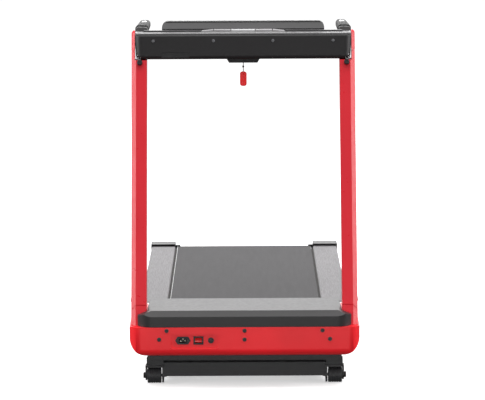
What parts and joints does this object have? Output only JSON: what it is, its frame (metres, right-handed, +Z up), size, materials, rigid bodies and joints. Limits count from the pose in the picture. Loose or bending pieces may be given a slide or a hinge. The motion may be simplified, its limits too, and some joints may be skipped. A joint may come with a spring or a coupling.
{
  "type": "folding electric treadmill",
  "caption": "Flat-belt motorised treadmill with folding uprights, a level console with handles, a safety key and a front lift frame on transport wheels.",
  "frame": {"origin": "on the floor, under the middle of the machine's box", "axes": "+Z up, +Y toward the user's end of the deck, +X to the right as seen from the motor end"},
  "size_m": [0.74, 1.5645, 1.137],
  "materials": {
    "red_paint": "satin powder coat",
    "red_shell": "semi-gloss moulded",
    "black_shell": "fine grain moulded",
    "black_metal": "satin powder coat",
    "grey_frame": "satin powder coat",
    "rail_grey": "lengthwise grain",
    "steel": "bright",
    "black_rubber": "moulded",
    "belt_fabric": "fine textured PVC",
    "board": "phenolic faced",
    "motor_black": "painted",
    "circuit": "board with parts",
    "brass_pin": "plated",
    "red_rocker": "gloss",
    "wheel_plastic": "moulded",
    "silver_trim": "silver lacquer",
    "lens": "smoked window",
    "green_button": "gloss",
    "light_grey": "moulded",
    "foam": "foam grip",
    "white_button": "gloss",
    "key_red": "gloss"
  },
  "bodies": {
    "frame": {"base_frame": "grey_frame", "base_shell": "red_shell", "belly_pan": "black_metal", "motor_hood": "black_shell", "upright_feet": "red_paint", "pivot_pins": "steel", "deck_board": "board", "deck_cushions": "black_rubber", "rail_left": "rail_grey", "rail_right": "rail_grey", "rear_caps": "black_shell", "roller_guards": "black_shell", "running_belt": "belt_fabric", "roller_axles": "steel", "tension_bolts": "steel", "drive_motor": "motor_black", "drive_belt": "black_rubber", "motor_controller": "circuit", "inlet_socket": "black_shell", "inlet_pins": "brass_pin", "switch_frame": "black_shell", "breaker_body": "black_shell", "shell_screws": "black_metal", "rear_feet": "black_rubber", "lift_motor": "motor_black"},
    "front_roller": {"front_roller": "steel"},
    "rear_roller": {"rear_roller": "steel"},
    "motor_rotor": {"motor_rotor": "steel"},
    "rocker_switch": {"rocker_switch": "red_rocker"},
    "breaker_button": {"breaker_button": "light_grey"},
    "lift_frame": {"lift_frame": "black_metal", "wheel_bolts": "steel"},
    "wheel_left": {"wheel_left": "wheel_plastic"},
    "wheel_right": {"wheel_right": "wheel_plastic"},
    "lift_screw": {"lift_screw": "steel"},
    "uprights": {"upright_left": "red_paint", "upright_right": "red_paint", "head_bolts": "steel"},
    "tie_rod_left": {"tie_rod_left": "steel"},
    "tie_rod_right": {"tie_rod_right": "steel"},
    "knob_left": {"knob_left": "black_shell"},
    "knob_right": {"knob_right": "black_shell"},
    "console": {"console_bar": "black_shell", "console_cover": "black_shell", "console_plates": "steel", "console_screws": "black_metal", "console_trim": "silver_trim", "dash_housing": "black_shell", "display_lens": "lens", "handle_necks": "light_grey", "handle_left": "foam", "handle_right": "foam", "key_housing": "black_shell"},
    "start_button": {"start_button": "green_button"},
    "stop_button": {"stop_button": "red_rocker"},
    "speed_rocker": {"speed_rocker": "white_button"},
    "incline_rocker": {"incline_rocker": "white_button"},
    "safety_key": {"safety_cord": "black_rubber", "cord_bead": "black_shell", "safety_key": "key_red"}
  },
  "joints": [
    {"name": "front_roller_spin", "type": "hinge", "parent": "frame", "child": "front_roller", "pos_m": [0, -0.56328, 0.20775], "axis": [-1, 0, 0], "continuous": true},
    {"name": "rear_roller_spin", "type": "hinge", "parent": "frame", "child": "rear_roller", "pos_m": [0, 0.71686, 0.16081], "axis": [-1, 0, 0], "continuous": true},
    {"name": "motor_spin", "type": "hinge", "parent": "frame", "child": "motor_rotor", "pos_m": [0, -0.68377, 0.19645], "axis": [-1, 0, 0], "continuous": true},
    {"name": "rocker_tilt", "type": "hinge", "parent": "frame", "child": "rocker_switch", "pos_m": [-0.148, -0.76911, 0.16156], "axis": [1, 0, 0], "range_deg": [-7, 7]},
    {"name": "breaker_reset", "type": "slide", "parent": "frame", "child": "breaker_button", "axis": [0, 0.9993, -0.0366], "range_m": [0, 0.0025], "stiffness_N_per_m": 300},
    {"name": "lift_tilt", "type": "hinge", "parent": "frame", "child": "lift_frame", "pos_m": [0, -0.3822, 0.09734], "axis": [1, 0, 0], "range_deg": [0, 8]},
    {"name": "wheel_left_spin", "type": "hinge", "parent": "lift_frame", "child": "wheel_left", "pos_m": [0, -0.67505, 0.025], "axis": [-1, 0, 0], "continuous": true},
    {"name": "wheel_right_spin", "type": "hinge", "parent": "lift_frame", "child": "wheel_right", "pos_m": [0, -0.67505, 0.025], "axis": [-1, 0, 0], "continuous": true},
    {"name": "screw_extend", "type": "slide", "parent": "frame", "child": "lift_screw", "axis": [0, -0.9993, 0.0366], "range_m": [0, 0.00591]},
    {"name": "upright_fold", "type": "hinge", "parent": "frame", "child": "uprights", "pos_m": [0, -0.67888, 0.27633], "axis": [-1, 0, 0], "range_deg": [0, 66]},
    {"name": "console_level", "type": "hinge", "parent": "uprights", "child": "console", "pos_m": [0, -0.4237, 1.03949], "axis": [-1, 0, 0], "range_deg": [-66, 0]},
    {"name": "tie_rod_left_swing", "type": "hinge", "parent": "frame", "child": "tie_rod_left", "pos_m": [0, -0.66688, 0.26033], "axis": [-1, 0, 0], "range_deg": [0, 66]},
    {"name": "tie_rod_right_swing", "type": "hinge", "parent": "frame", "child": "tie_rod_right", "pos_m": [0, -0.66688, 0.26033], "axis": [-1, 0, 0], "range_deg": [0, 66]},
    {"name": "knob_left_pull", "type": "slide", "parent": "uprights", "child": "knob_left", "axis": [0, -0.9391, 0.3437], "range_m": [0, 0.006], "stiffness_N_per_m": 400},
    {"name": "knob_right_pull", "type": "slide", "parent": "uprights", "child": "knob_right", "axis": [0, -0.9391, 0.3437], "range_m": [0, 0.006], "stiffness_N_per_m": 400},
    {"name": "start_press", "type": "slide", "parent": "console", "child": "start_button", "axis": [0, -0.5207, -0.8537], "range_m": [0, 0.0015], "stiffness_N_per_m": 400},
    {"name": "stop_press", "type": "slide", "parent": "console", "child": "stop_button", "axis": [0, -0.5207, -0.8537], "range_m": [0, 0.0015], "stiffness_N_per_m": 400},
    {"name": "speed_tilt", "type": "hinge", "parent": "console", "child": "speed_rocker", "pos_m": [0.3315, -0.14984, 1.1125], "axis": [1, 0, 0], "range_deg": [-4, 4], "stiffness_Nm_per_rad": 0.05},
    {"name": "incline_tilt", "type": "hinge", "parent": "console", "child": "incline_rocker", "pos_m": [-0.3315, -0.14984, 1.1125], "axis": [1, 0, 0], "range_deg": [-4, 4], "stiffness_Nm_per_rad": 0.05},
    {"name": "key_swing", "type": "hinge", "parent": "console", "child": "safety_key", "pos_m": [0, -0.39865, 1.01325], "axis": [1, 0, 0], "range_deg": [-30, 30]}
  ],
  "couplings": [
    {"joint": "rear_roller_spin", "follows": "front_roller_spin", "ratio": 1},
    {"joint": "motor_spin", "follows": "front_roller_spin", "ratio": 2.3077},
    {"joint": "screw_extend", "follows": "lift_tilt", "m_per_rad": 0.041966},
    {"joint": "console_level", "follows": "upright_fold", "ratio": -1},
    {"joint": "tie_rod_left_swing", "follows": "upright_fold", "ratio": 1},
    {"joint": "tie_rod_right_swing", "follows": "upright_fold", "ratio": 1}
  ]
}
